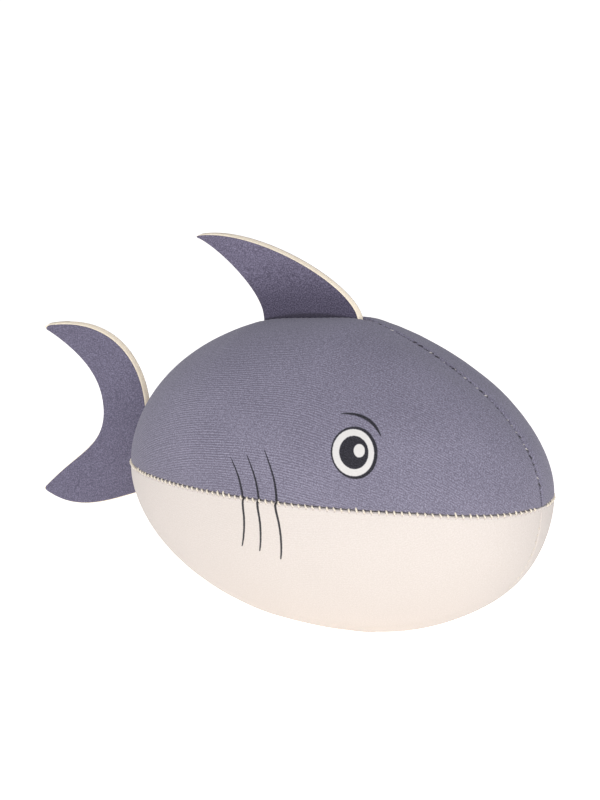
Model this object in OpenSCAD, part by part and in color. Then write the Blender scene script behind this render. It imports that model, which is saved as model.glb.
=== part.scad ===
// Soft toy shark: four neoprene panels sewn round a fibre filling, with flat neoprene fins
// sewn into the seams. +X is the nose, +Z is up, and z = 0 is the flat that the belly rests on.

/* [Body] */
// Length from the nose to the tail seam
body_len = 163; // [150:1:175]
// Height of the back over the side seam
back_h = 57; // [52:0.5:62]
// Depth of the belly below the side seam, before it settles
belly_h = 55; // [50:0.5:60]
// Half of the body's width
half_w = 54; // [49:0.5:59]
// How far the belly settles flat under its own weight
settle = 1.5; // [1:0.1:3]
// Fullness of the outline: 1 is an ellipse, and less is blunter at both ends
fullness = 0.93; // [0.85:0.01:1]
// Squareness of the cross-section: 2 is an ellipse, and less shows the four seams as ridges
squareness = 1.9; // [1.8:0.05:2]

/* [Fabric and seams] */
// Thickness of a body panel
panel_t = 3.5; // [3:0.1:4]
// Thickness of a fin's foam core
foam_t = 3.2; // [2.6:0.1:3.6]
// Thickness of the knitted face bonded to each side of a fin
face_t = 0.4; // [0.3:0.1:0.5]
// Depth of the panel edge that is turned in and sewn
seam_allowance = 5; // [3:0.5:6]
// Width of the gap between two panels, which the thread fills
seam_gap = 1; // [0.8:0.1:1.2]
// Thickness of the line of sewing thread in a seam
thread_t = 0.8; // [0.5:0.1:0.8]
// Room between one soft piece and the next
clearance = 0.3; // [0.3:0.1:0.4]

/* [Dorsal fin] */
// Position of the front end of the fin's seam
dorsal_front = 8.5; // [5:0.5:15]
// Length of the fin's seam
dorsal_base = 40.5; // [36:0.5:45]
// Height of the tip over the hinge line
dorsal_rise = 24.2; // [20:0.2:32]
// How far the tip trails behind the seam
dorsal_sweep = 28; // [20:1:34]

/* [Tail fin] */
// Top end of the tail's seam, over the side seam
tail_top = 10; // [8:1:12]
// Bottom end of the tail's seam, under the side seam
tail_bottom = 16; // [12:1:17]
// Length of the tail fin behind its hinge line
tail_len = 45; // [42:1:56]
// Height of the upper tip over the side seam
tail_up = 46; // [40:1:52]
// Depth of the lower tip under the side seam
tail_down = 20; // [18:1:24]
// Length of the web left at the notch between the two lobes
tail_web = 19; // [17:1:24]

/* [Hidden] */

slate = "#8c8899";
cream = "#f6ede4";
fibre = "#f4f4f0";
foam = "#e6d3bd";
pale_thread = "#eee6da";
dark_thread = "#4c4854";

half_len = body_len / 2;
rest_h = belly_h - settle;
fin_half = foam_t / 2 + face_t;
slot_half = fin_half + 0.7;

// Egg terms: how the widest place shifts towards the nose and how fast the ends close
BACK = [back_h, -0.07, -0.12, half_len];
BELLY = [belly_h, 0.06, -0.01, rest_h];
SIDE = [half_w, 0.02, 0, half_w];

// Rows of the panels, as angles round the outline from the nose to the tail seam
NOSE_ANGLE = 1.2;
TAIL_ANGLE = 176;
PANEL_ROWS = 40;
PANEL_COLUMNS = 10;
FILL_ANGLE = 12;
FILL_ROWS = 32;
FILL_COLUMNS = 6;
THREAD_STEP = 4;
SLOT_RAMP = 5;
CURVE_STEPS = 14;

dorsal_rear = dorsal_front - dorsal_base;
dorsal_hinge_z = back_h + fin_half + 0.4;
tail_hinge_x = -(half_len + fin_half + 0.4);
root_gap = fin_half + clearance;
root_depth = 8.5;
thread_sink = 0.4;
thread_deep = 2.4;

// ---- the body's outline ----

// Distance from the body's centre line to the skin drawn in by inset, at angle t
function swell(side, inset, t) =
    (side[0] - inset) * pow(sin(t), fullness) * (1 + side[1] * cos(t) + side[2] * pow(cos(t), 2));

// The same, cut off flat where the belly rests
function reach(side, inset, t) = min(swell(side, inset, t), side[3] - inset);

function along(inset, t) = (half_len - inset) * cos(t);

function smooth(u) = let (v = min(max(u, 0), 1)) v * v * (3 - 2 * v);

// 1 between angles a and b, falling smoothly to 0 outside them
function window(t, a, b) = smooth((t - a) / SLOT_RAMP + 1) * smooth((b - t) / SLOT_RAMP + 1);

// Angles between which the top and the bottom seam open for a fin
BACK_SLOTS = [[acos(dorsal_front / half_len) - 3, acos(dorsal_rear / half_len) + 3],
              [asin(tail_top / back_h + 0.04) * -1 + 176, 180]];
BELLY_SLOTS = [[asin(tail_bottom / belly_h + 0.04) * -1 + 180, 180]];

function half_gap(slots, t) =
    let (open = max([for (s = slots) window(t, s[0], s[1])]))
    seam_gap / 2 + (slot_half - seam_gap / 2) * open;

// Unit quarter of the cross-section at angle p from the side seam: [sideways, upwards]
function quarter(p) = [pow(cos(p), 2 / squareness), pow(sin(p), 2 / squareness)];

// ---- lofting ----

// Skin over a stack of rings, closed by the faces of cap at the first ring and the last
module loft(rings, cap) {
    n = len(rings);
    m = len(rings[0]);
    points = [for (ring = rings) each ring];
    sides = [for (i = [0:n - 2], j = [0:m - 1])
        let (a = i * m + j, b = i * m + (j + 1) % m) each [[a, b, b + m], [a, b + m, a + m]]];
    first = [for (face = cap) [for (k = [len(face) - 1:-1:0]) face[k]]];
    last = [for (face = cap) [for (k = face) k + (n - 1) * m]];
    polyhedron(points, concat(sides, first, last), convexity = 6);
}

// One row of a quarter panel: outer skin, turned-in edge at the centre seam, inner skin and
// turned-in edge at the side seam
function panel_ring(side, slots, t) =
    let (xo = along(0, t), xi = along(panel_t, t),
         wo = swell(SIDE, 0, t), wi = swell(SIDE, panel_t, t),
         ho = swell(side, 0, t), hi = swell(side, panel_t, t),
         flat_o = side[3], flat_i = side[3] - panel_t,
         gy = half_gap(slots, t), gz = seam_gap / 2,
         edge_y = gy + min(panel_t, (wi - gy) / 3), edge_z = gz + min(panel_t, (hi - gz) / 3),
         top = min(hi, flat_i) - min(seam_allowance, (hi - gz) / 3),
         out = wi - min(seam_allowance, (wi - gy) / 3),
         step = 90 / (PANEL_COLUMNS - 1))
    concat(
        [[xi, out, gz]],
        [for (p = [0:step:90.01]) let (q = quarter(min(p, 90)))
            [xo, gy + (wo - gy) * q[0], min(gz + (ho - gz) * q[1], flat_o)]],
        [[xi, gy, top], [xi, edge_y, top]],
        [for (p = [90:-step:-0.01]) let (q = quarter(max(p, 0)))
            [xi, edge_y + (wi - edge_y) * q[0], min(edge_z + (hi - edge_z) * q[1], flat_i)]],
        [[xi, out, edge_z]]);

module quarter_panel(side, slots) {
    angles = [for (i = [0:PANEL_ROWS]) NOSE_ANGLE + (TAIL_ANGLE - NOSE_ANGLE) * i / PANEL_ROWS];
    last = 2 * PANEL_COLUMNS + 3;
    cap = [for (k = [0:PANEL_COLUMNS]) each
        [[k, k + 1, last - 1 - k], [k, last - 1 - k, last - k]]];
    loft([for (t = angles) panel_ring(side, slots, t)], cap);
}

// One side of a row of the filling, from the bottom seam to the top seam, notched at the
// three seams for the turned-in edges
function filling_side(t) =
    let (inset = panel_t + clearance, x = along(inset, t),
         w = swell(SIDE, inset, t), wi = swell(SIDE, panel_t, t),
         up = swell(BACK, inset, t), down = swell(BELLY, inset, t),
         rest = rest_h - inset,
         up_y = half_gap(BACK_SLOTS, t), down_y = half_gap(BELLY_SLOTS, t),
         top_y = up_y + min(panel_t, (wi - up_y) / 3) + clearance,
         bottom_y = down_y + min(panel_t, (wi - down_y) / 3) + clearance,
         side_z = seam_gap / 2 + panel_t + clearance,
         notch = min(seam_allowance, w / 3) + clearance,
         step = 90 / (FILL_COLUMNS - 1))
    concat(
        [[x, bottom_y, notch - min(down, rest)]],
        [for (p = [90:-step:-0.01]) let (q = quarter(max(p, 0)))
            [x, bottom_y + (w - bottom_y) * q[0], -min(side_z + (down - side_z) * q[1], rest)]],
        [[x, w - notch, -side_z], [x, w - notch, side_z]],
        [for (p = [0:step:90.01]) let (q = quarter(min(p, 90)))
            [x, top_y + (w - top_y) * q[0], side_z + (up - side_z) * q[1]]],
        [[x, top_y, up - notch]]);

function filling_ring(t) =
    let (left = filling_side(t), n = len(left))
    concat(left, [for (k = [n - 1:-1:0]) [left[k][0], -left[k][1], left[k][2]]]);

// ---- curves and seam lines ----

function bezier(a, b, c, d) = [for (k = [0:CURVE_STEPS - 1]) let (u = k / CURVE_STEPS, v = 1 - u)
    v * v * v * a + 3 * v * v * u * b + 3 * v * u * u * c + u * u * u * d];

// Band of thread in the plane of a seam, between angles a and b: [along, outwards] points
function thread_band(side, a, b) =
    let (n = ceil((b - a) / THREAD_STEP), angles = [for (i = [0:n]) a + (b - a) * i / n])
    concat([for (t = angles) [along(thread_sink, t), min(swell(side, thread_sink, t), side[3])]],
           [for (i = [n:-1:0]) let (t = angles[i])
               [along(thread_deep, t), reach(side, thread_deep, t)]]);

module upright(thickness, y = 0) {
    translate([0, y, 0]) rotate([90, 0, 0])
        linear_extrude(thickness, center = true) children();
}

module centred() { translate([0, 0, rest_h]) children(); }

// ---- panels and filling ----

module upper_left_panel() { color(slate) centred() quarter_panel(BACK, BACK_SLOTS); }

module upper_right_panel() {
    color(slate) centred() mirror([0, 1, 0]) quarter_panel(BACK, BACK_SLOTS);
}

module lower_left_panel() {
    color(cream) centred() mirror([0, 0, 1]) quarter_panel(BELLY, BELLY_SLOTS);
}

module lower_right_panel() {
    color(cream) centred() mirror([0, 0, 1]) mirror([0, 1, 0]) quarter_panel(BELLY, BELLY_SLOTS);
}

module fibre_filling() {
    first = FILL_ANGLE;
    last = 180 - FILL_ANGLE;
    rings = [for (i = [0:FILL_ROWS]) filling_ring(first + (last - first) * i / FILL_ROWS)];
    end = len(rings[0]) - 1;
    low = FILL_COLUMNS + 1;
    high = 2 * FILL_COLUMNS + 3;
    lobes = [[for (k = [0:low]) k], [for (k = [low + 1:high]) k]];
    mirrored = [for (lobe = lobes) [for (k = [len(lobe) - 1:-1:0]) end - lobe[k]]];
    core = [0, low, low + 1, high, end - high, end - low - 1, end - low, end];
    color(fibre) centred() loft(rings, concat([core], lobes, mirrored));
}

// ---- dorsal fin ----

module dorsal_outline() {
    z = dorsal_hinge_z;
    tip = [dorsal_rear - dorsal_sweep, z + dorsal_rise];
    polygon(concat(
        bezier([dorsal_front, z], [dorsal_front - 7.7, z + 12.1],
               [dorsal_front - 43.2, tip[1] + 3.5], tip + [0.6, 0.1]),
        bezier(tip + [0.6, 0.1], tip + [-0.4, 0], tip + [-0.8, -0.3], tip + [-0.2, -0.7]),
        bezier(tip + [-0.2, -0.7], tip + [8.5, -3.9], [dorsal_rear - 4.4, z + 8.4],
               [dorsal_rear, z]),
        [[dorsal_rear, z]]));
}

module dorsal_fin_foam() {
    color(foam) centred() {
        upright(foam_t) dorsal_outline();
        translate([dorsal_rear, 0, dorsal_hinge_z]) rotate([0, 90, 0])
            cylinder(dorsal_base, d = foam_t, $fn = 48);
    }
}

module dorsal_face(side) { upright(face_t, side * (foam_t + face_t) / 2) dorsal_outline(); }

module dorsal_fin_left_face() { color(slate) centred() dorsal_face(1); }

module dorsal_fin_right_face() { color(slate) centred() dorsal_face(-1); }

// The strip of the fin below its hinge line, sewn between the two back panels
module dorsal_fin_root() {
    top = dorsal_hinge_z - root_gap;
    color(slate) centred() translate([dorsal_rear, -fin_half, top - root_depth])
        cube([dorsal_base, 2 * fin_half, root_depth]);
}

// ---- tail fin ----

module tail_outline() {
    x = tail_hinge_x;
    end = x - tail_len;
    notch = [x - tail_web, 12.8];
    polygon(concat(
        bezier([x, tail_top], [x - 0.2, tail_top + 30], [x - 15.6, tail_up + 5],
               [end + 4.7, tail_up + 0.3]),
        bezier([end + 4.7, tail_up + 0.3], [end + 3, tail_up - 0.1],
               [end + 2.5, tail_up - 0.6], [end + 3.6, tail_up - 1.4]),
        bezier([end + 3.6, tail_up - 1.4], [end + 18.5, tail_up - 10.7], notch + [0.1, 13.5], notch),
        bezier(notch, notch + [-0.5, -13.8], notch + [-11.9, -16.5], [end + 0.3, 1.6 - tail_down]),
        bezier([end + 0.3, 1.6 - tail_down], [end - 0.5, 0.9 - tail_down],
               [end - 0.4, 0.4 - tail_down], [end + 0.6, 0.2 - tail_down]),
        bezier([end + 0.6, 0.2 - tail_down], [end + 16.1, -9.7 - tail_down],
               [x - 9.3, -tail_bottom - 2], [x, -tail_bottom]),
        [[x, -tail_bottom]]));
}

module tail_fin_foam() {
    color(foam) centred() {
        upright(foam_t) tail_outline();
        translate([tail_hinge_x, 0, -tail_bottom])
            cylinder(tail_top + tail_bottom, d = foam_t, $fn = 48);
    }
}

module tail_face(side) { upright(face_t, side * (foam_t + face_t) / 2) tail_outline(); }

module tail_fin_left_face() { color(slate) centred() tail_face(1); }

module tail_fin_right_face() { color(slate) centred() tail_face(-1); }

module tail_fin_root() {
    depth = 4.5;
    color(slate) centred() translate([tail_hinge_x + root_gap, -fin_half, -tail_bottom])
        cube([depth, 2 * fin_half, tail_top + tail_bottom]);
}

// ---- sewing thread ----

module front_back_thread() {
    color(dark_thread) centred() upright(thread_t)
        polygon(thread_band(BACK, 4, BACK_SLOTS[0][0] - 1));
}

module rear_back_thread() {
    color(dark_thread) centred() upright(thread_t)
        polygon(thread_band(BACK, BACK_SLOTS[0][1] + 1, BACK_SLOTS[1][0] - 1));
}

module belly_thread() {
    color(pale_thread) centred() mirror([0, 0, 1]) upright(thread_t)
        polygon(thread_band(BELLY, 4, BELLY_SLOTS[0][0] - 1));
}

module side_thread() {
    color(pale_thread) centred() linear_extrude(thread_t, center = true)
        polygon(thread_band(SIDE, 4, 172));
}

module left_side_thread() { side_thread(); }

module right_side_thread() { mirror([0, 1, 0]) side_thread(); }

// Two threads hold a fin: the needle thread shows on one side of it, the bobbin thread on
// the other
module beside_fin(side) {
    room = slot_half - fin_half;
    upright(room - 0.2, side * (fin_half + room / 2)) children();
}

module dorsal_thread(side) {
    color(dark_thread) centred() beside_fin(side)
        polygon(thread_band(BACK, BACK_SLOTS[0][0] + 3, BACK_SLOTS[0][1] - 3));
}

module dorsal_left_thread() { dorsal_thread(1); }

module dorsal_right_thread() { dorsal_thread(-1); }

module tail_thread(side) {
    x = thread_sink - half_len;
    color(dark_thread) centred() beside_fin(side) translate([x, 1 - tail_bottom])
        square([thread_deep, tail_top + tail_bottom - 2]);
}

module tail_left_thread() { tail_thread(1); }

module tail_right_thread() { tail_thread(-1); }

upper_left_panel();
upper_right_panel();
lower_left_panel();
lower_right_panel();
fibre_filling();
dorsal_fin_root();
dorsal_fin_foam();
dorsal_fin_left_face();
dorsal_fin_right_face();
tail_fin_root();
tail_fin_foam();
tail_fin_left_face();
tail_fin_right_face();
front_back_thread();
rear_back_thread();
belly_thread();
left_side_thread();
right_side_thread();
dorsal_left_thread();
dorsal_right_thread();
tail_left_thread();
tail_right_thread();
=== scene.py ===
# %% [markdown]
# # A stuffed neoprene shark
#
# The toy is four curved panels of sponge neoprene, faced with fine ribbed jersey and sewn round
# a firm fibre filling, with two flat neoprene fins caught in the seams. The CAD model fixes
# every size and joint. This lesson makes the looks around it: panels cut from flat grids and
# bent over the body, stuffed by a cloth simulation, sewn with separate stitches and printed
# by their materials.

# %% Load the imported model
import math
import random

import bmesh
import bpy
import numpy as np
from mathutils import Matrix, Vector


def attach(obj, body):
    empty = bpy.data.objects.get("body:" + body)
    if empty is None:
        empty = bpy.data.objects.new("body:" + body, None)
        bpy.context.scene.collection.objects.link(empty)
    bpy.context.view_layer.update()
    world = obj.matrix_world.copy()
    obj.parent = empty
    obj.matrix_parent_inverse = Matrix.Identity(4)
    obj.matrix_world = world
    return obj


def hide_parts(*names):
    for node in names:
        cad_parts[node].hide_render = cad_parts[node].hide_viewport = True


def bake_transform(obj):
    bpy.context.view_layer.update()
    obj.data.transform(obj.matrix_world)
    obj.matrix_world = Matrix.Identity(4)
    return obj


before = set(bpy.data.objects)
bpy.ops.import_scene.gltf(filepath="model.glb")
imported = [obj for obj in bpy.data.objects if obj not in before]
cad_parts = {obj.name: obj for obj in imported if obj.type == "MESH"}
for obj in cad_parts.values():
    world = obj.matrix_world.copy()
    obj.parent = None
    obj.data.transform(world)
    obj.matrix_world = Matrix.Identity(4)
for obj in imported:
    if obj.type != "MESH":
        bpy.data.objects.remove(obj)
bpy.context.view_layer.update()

MM = 0.001

# %% [markdown]
# ## The camera
#
# The camera stands at the toy's right, in front of its shoulder, a little above its back, and
# far enough away that the body looks hardly swollen by perspective. Its roll of under a degree
# is the tilt of a camera held on a stand that isn't quite level.

# %% Camera
REST_HEIGHT = 53.5
VIEW_TURN, VIEW_RISE, VIEW_ROLL = 0.5687, 0.153, 0.0147
VIEW_DISTANCE, VIEW_RIGHT, VIEW_UP = 645.5, -12.93, 26.47
LENS = 80.82


def camera_axes(turn, rise, roll):
    """Right, up and backward directions of a camera turned about the toy."""
    back = Vector((math.sin(turn) * math.cos(rise), -math.cos(turn) * math.cos(rise), math.sin(rise)))
    right = Vector((math.cos(turn), math.sin(turn), 0))
    up = back.cross(right)
    rolled_right = right * math.cos(roll) + up * math.sin(roll)
    rolled_up = up * math.cos(roll) - right * math.sin(roll)
    return right, up, back, Matrix((rolled_right, rolled_up, back)).transposed()


right, up, back, turned = camera_axes(VIEW_TURN, VIEW_RISE, VIEW_ROLL)
eye_data = bpy.data.cameras.new("studio_camera")
eye_data.lens = LENS
eye_data.sensor_width = 36
eye_data.clip_start, eye_data.clip_end = 0.05, 50
studio_camera = bpy.data.objects.new("studio_camera", eye_data)
bpy.context.scene.collection.objects.link(studio_camera)
place = back * VIEW_DISTANCE + right * VIEW_RIGHT + up * VIEW_UP + Vector((0, 0, REST_HEIGHT))
studio_camera.matrix_world = Matrix.Translation(place * MM) @ turned.to_4x4()
bpy.context.scene.camera = studio_camera
print("camera at", [round(x, 3) for x in studio_camera.location])

# %% [markdown]
# ## The body's shape
#
# A stuffed body like this is close to an egg: an ellipse along its length whose widest place
# has moved towards the nose, and a cross-section that is drawn slightly towards its four seams.
# One formula gives the skin at any angle from the nose and any turn round the middle, so the
# panels, the filling and the seams all agree. Lengths in these cells are millimetres from the
# body's centre line, and become metres when a piece is finished.

# %% Body formula
HALF_LENGTH = 81.5
BACK = (57.0, -0.07, -0.12)
BELLY = (55.0, 0.06, -0.01)
SIDE = (54.0, 0.02, 0.0)
HEIGHT = {1: BACK, -1: BELLY}
FULLNESS = 0.93
SQUARENESS = 1.84
SETTLE_SHARPNESS = 1.2
SEAM_HALF_GAP, BACK_HALF_GAP = 0.15, 0.55
UNEVEN_BACK = [(13.0, 11.0, 1.3), (-12.0, 14.0, -1.0), (50.0, 15.0, -1.1)]
FLOOR_CLEARANCE = 0.02


def swell(shape, angle):
    """Distance from the centre line to the skin at an angle from the nose."""
    size, lean, close = shape
    c = np.cos(angle)
    return size * np.clip(np.sin(angle), 0, 1) ** FULLNESS * (1 + lean * c + close * c * c)


def settled(depth):
    """Depth under the centre line once the belly has settled softly on its flat."""
    k = SETTLE_SHARPNESS
    return -np.logaddexp(-k * depth, -k * REST_HEIGHT) / k


def quarter_skin(half, angle, turn, gap_y=0.0, gap_z=0.0):
    """Points of a quarter of the skin: half is 1 for the back and -1 for the belly, and turn
    goes from 0 at the side seam to a right angle at the middle seam."""
    across = np.clip(np.cos(turn), 0, 1) ** (2 / SQUARENESS)
    rise = np.clip(np.sin(turn), 0, 1) ** (2 / SQUARENESS)
    width = swell(SIDE, angle)
    height = swell(HEIGHT[half], angle)
    if half > 0:
        for place, reach, lift in UNEVEN_BACK:
            height = height + lift * np.exp(-(((HALF_LENGTH * np.cos(angle) - place) / reach) ** 2))
    y = gap_y + np.maximum(width - gap_y, 0) * across
    z = gap_z + np.maximum(height - gap_z, 0) * rise
    if half < 0:
        z = settled(z)
    return np.stack([HALF_LENGTH * np.cos(angle), y, z], -1)


def quarter_normal(half, angle, turn):
    """Outward directions of that quarter, from small steps along it and across it."""
    step = 1e-3
    a = np.clip(angle, 0.02, math.pi - 0.02)
    t0, t1 = np.clip(turn - step, 0, math.pi / 2), np.clip(turn + step, 0, math.pi / 2)
    along = quarter_skin(half, a + step, turn) - quarter_skin(half, a - step, turn)
    across = quarter_skin(half, a, t1) - quarter_skin(half, a, t0)
    n = np.cross(across, along)
    n /= np.maximum(np.linalg.norm(n, axis=-1, keepdims=True), 1e-12)
    outward = np.sign((n * quarter_skin(half, a, turn)).sum(-1, keepdims=True))
    return n * np.where(outward == 0, 1, outward)


def smooth(t):
    """0 up to t = 0, then a soft rise to 1 at t = 1."""
    t = np.clip(t, 0, 1)
    return t * t * (3 - 2 * t)


NOSE_DROP, DROP_FROM = 1.6, 50.0


def dropped(points):
    """Points with the nose lowered a little, as its weight and the tight seams pull it."""
    points = np.array(points)
    points[..., 2] -= NOSE_DROP * smooth((points[..., 0] - DROP_FROM) / (HALF_LENGTH - DROP_FROM))
    return points


def placed(points, side, half):
    """Quarter points, in millimetres, mirrored to their own side and half."""
    return dropped(points * np.array([1, side, half]))


print("body", 2 * HALF_LENGTH, "by", 2 * SIDE[0], "by", BACK[0] + REST_HEIGHT, "mm")

# %% [markdown]
# ## Distances along the seams
#
# Stitches are spaced evenly along the sewn edge, and the ribs of the jersey run along each
# panel as it was cut flat. Both need real lengths along the curved skin, so the lengths are
# added up once, in small steps, and looked up afterwards.

# %% Length tables
TABLE_ANGLES = np.linspace(0, math.pi, 1201)
TABLE_TURNS = np.linspace(0, math.pi / 2, 301)


def lengths(points):
    """Running length along a row of points."""
    steps = np.linalg.norm(np.diff(points, axis=0), axis=1)
    return np.concatenate([[0], np.cumsum(steps)])


def along_table(half, turn):
    """Length from the nose to each angle, along the skin at one turn."""
    return lengths(quarter_skin(half, TABLE_ANGLES, np.full_like(TABLE_ANGLES, turn)))


MIDDLE_TURN = math.pi / 4
PANEL_LENGTH = along_table(1, MIDDLE_TURN)
SIDE_SEAM = along_table(1, 0.0)
BACK_SEAM = along_table(1, math.pi / 2)
BELLY_SEAM = along_table(-1, math.pi / 2)
MIDDLE_SEAM = {1: BACK_SEAM, -1: BELLY_SEAM}
unit_arc = np.clip(np.stack([np.cos(TABLE_TURNS), np.sin(TABLE_TURNS)], -1), 0, 1) ** (2 / SQUARENESS)
ACROSS_LENGTH = lengths(unit_arc)
MIDDLE_LENGTH = np.interp(MIDDLE_TURN, TABLE_TURNS, ACROSS_LENGTH)


def cut_across(half, angle, turn):
    """Distance across the flat cut from the panel's middle line, in millimetres."""
    size = (swell(SIDE, angle) + swell(HEIGHT[half], angle)) / 2
    return (np.interp(turn, TABLE_TURNS, ACROSS_LENGTH) - MIDDLE_LENGTH) * size


print("a panel is", round(PANEL_LENGTH[-1]), "mm long, its side seam", round(SIDE_SEAM[-1]), "mm")

# %% [markdown]
# ## Stuffing the skin
#
# The panels swell between their seams because the filling pushes from inside while the sewn
# edges hold. That could be drawn by hand, but pressure in a cloth simulation gives the swelling
# its own uneven shape. A coarse skin is pinned along the seams and inflated, and how far each
# point moved outwards is kept as a small table that the fine panels look up. The movement is
# capped, because neoprene over firm filling gives only about a millimetre.

# %% Inflate a coarse skin
COARSE_ROWS, COARSE_TURNS = 40, 48
STUFFING_FRAMES = 20
STUFFING_PRESSURE = 4.0
CLOTH_STIFFNESS, CLOTH_BENDING = 30, 5
CROWN_CAP = 1.1


def split_turn(turn):
    """Side, half and quarter turn for a turn measured all the way round from the left side."""
    c, s = np.cos(turn), np.sin(turn)
    return np.where(c >= 0, 1, -1), np.where(s >= 0, 1, -1), np.arctan2(np.abs(s), np.abs(c))


def whole_skin(angle, turn):
    """Points and outward directions of the skin for turns all the way round."""
    side, half, quarter = split_turn(turn)
    up_point = quarter_skin(1, angle, quarter)
    down_point = quarter_skin(-1, angle, quarter)
    up_out = quarter_normal(1, angle, quarter)
    down_out = quarter_normal(-1, angle, quarter)
    signs = np.stack([np.ones_like(turn), side, half], -1)
    pick = (half > 0)[..., None]
    return np.where(pick, up_point, down_point) * signs, np.where(pick, up_out, down_out) * signs


def sphere_angles(bm):
    """Angle from the nose and turn of each vertex of a unit sphere whose poles lie along x."""
    co = np.array([v.co for v in bm.verts])
    return np.arccos(np.clip(co[:, 0], -1, 1)), np.arctan2(co[:, 2], co[:, 1])


POLES_ALONG_X = Matrix.Rotation(math.pi / 2, 4, "Y")


def move_all(bm, points):
    """Puts every vertex at its new point."""
    for v, p in zip(bm.verts, points):
        v.co = p


def finished(bm, name):
    """A new object of this mesh, with the mesh released."""
    mesh = bpy.data.meshes.new(name)
    bm.to_mesh(mesh)
    bm.free()
    piece = bpy.data.objects.new(name, mesh)
    bpy.context.scene.collection.objects.link(piece)
    return piece


def raised(bm, name):
    """A new object of this mesh, smooth, and lifted so that the body's belly is on the floor."""
    for face in bm.faces:
        face.smooth = True
    bmesh.ops.translate(bm, verts=bm.verts[:], vec=(0, 0, REST_HEIGHT * MM))
    return finished(bm, name)


def inflate():
    """How far the stuffed skin stands out, by row and turn, in millimetres."""
    bm = bmesh.new()
    bmesh.ops.create_uvsphere(bm, u_segments=COARSE_TURNS, v_segments=COARSE_ROWS, radius=1,
                              matrix=POLES_ALONG_X)
    angle, turn = sphere_angles(bm)
    start, outward = whole_skin(angle, turn)
    move_all(bm, start * MM)
    skin = finished(bm, "stuffing_trial")
    row = np.rint(angle / math.pi * COARSE_ROWS).astype(int)
    column = np.rint(turn / (2 * math.pi) * COARSE_TURNS).astype(int) % COARSE_TURNS
    sewn = (column % (COARSE_TURNS // 4) == 0) | (row <= 1) | (row >= COARSE_ROWS - 1)
    group = skin.vertex_groups.new(name="sewn")
    group.add([int(i) for i in np.nonzero(sewn)[0]], 1.0, "REPLACE")
    cloth = skin.modifiers.new("stuffing", "CLOTH")
    cloth.settings.use_pressure = True
    cloth.settings.uniform_pressure_force = STUFFING_PRESSURE
    cloth.settings.vertex_group_mass = "sewn"
    cloth.settings.effector_weights.gravity = 0
    cloth.settings.tension_stiffness = CLOTH_STIFFNESS
    cloth.settings.compression_stiffness = CLOTH_STIFFNESS
    cloth.settings.bending_stiffness = CLOTH_BENDING
    cloth.point_cache.frame_start, cloth.point_cache.frame_end = 1, STUFFING_FRAMES
    for number in range(1, STUFFING_FRAMES + 1):
        bpy.context.scene.frame_set(number)
    shape = skin.evaluated_get(bpy.context.evaluated_depsgraph_get()).to_mesh()
    after = np.array([v.co for v in shape.vertices]) / MM
    out = ((after - start) * outward).sum(-1)
    table = np.zeros((COARSE_ROWS + 1, COARSE_TURNS))
    table[row, column] = out
    bpy.data.objects.remove(skin)
    bpy.context.scene.frame_set(1)
    return table


swelling = inflate()
print("skin moved from", round(float(swelling.min()), 2), "to", round(float(swelling.max()), 2), "mm")
swelling = swelling * CROWN_CAP / max(float(np.percentile(swelling, 95)), 1e-6)
swelling = np.clip(swelling, 0, CROWN_CAP)


def crown(angle, turn):
    """How far the stuffed skin stands out at this place."""
    r = np.clip(angle / math.pi * COARSE_ROWS, 0, COARSE_ROWS - 1e-6)
    c = (turn / (2 * math.pi) * COARSE_TURNS) % COARSE_TURNS
    i, j = r.astype(int), c.astype(int)
    u, v = [(smooth(part) + part) / 2 for part in (r - i, c - j)]
    k = (j + 1) % COARSE_TURNS
    near = swelling[i, j] * (1 - v) + swelling[i, k] * v
    far = swelling[i + 1, j] * (1 - v) + swelling[i + 1, k] * v
    return near * (1 - u) + far * u


# %% [markdown]
# ## Panels
#
# Each panel is cut flat and sewn by its edges, so its edge rolls over a small radius into the
# seam and the turned-in allowance makes a ridge inside. A grid stands for the flat cut. It is
# bent over the body, given its wall by solidify, and the inner skin is then moved to its own
# depth. The flat position of each point is kept as a UV map, which the ribs follow. A second
# map holds the place along the side seam and the distance from it, for the painted shade of
# the needle's holes.

# %% Panel helpers
PANEL_T = 3.5
ALLOWANCE = 5.0
EDGE_ROLL, EDGE_ROLL_CAP = 1.0, 1.3
STITCH_PITCH = 2.5
PUCKER = 0.09
PUCKER_REACH = 1.4
GRID_ALONG, GRID_ACROSS = 330, 44
SAME_POINT = 0.002
EDGE_CROWDING = 2.5
FIN_HALF = 2.25
SLOT_RAMP = math.radians(4)
DORSAL_FRONT, DORSAL_REAR = 10.3, -30.6
TAIL_TOP, TAIL_BOTTOM = 10.0, 16.0
PANEL_END = math.radians(178.2)

DORSAL_SLOT = (math.acos(DORSAL_FRONT / HALF_LENGTH), math.acos(DORSAL_REAR / HALF_LENGTH))
TAIL_SLOTS = {1: (math.radians(171), math.pi), -1: (math.radians(163.5), math.pi)}


def window(angle, start, end):
    """1 between two angles, falling smoothly to 0 outside them."""
    return smooth((angle - start) / SLOT_RAMP + 1) * smooth((end - angle) / SLOT_RAMP + 1)


def middle_gap(half, angle):
    """Half of the gap along the middle seam, which opens where a fin is sewn in."""
    opened = window(angle, *TAIL_SLOTS[half])
    if half > 0:
        opened = np.maximum(opened, window(angle, *DORSAL_SLOT))
    closed = BACK_HALF_GAP if half > 0 else SEAM_HALF_GAP
    return closed + (FIN_HALF - closed) * opened


def rolled(distance, radius):
    """How far an edge has turned down at a distance from its seam."""
    inside = np.clip(radius - distance, 0, radius)
    return radius - np.sqrt(np.maximum(radius**2 - inside**2, 0))


def wall_depth(distance):
    """Depth of the inner skin, with the turned-in allowance beside the seam."""
    return PANEL_T + ALLOWANCE * (1 - smooth((distance - PANEL_T + 1) / 2))


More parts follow.
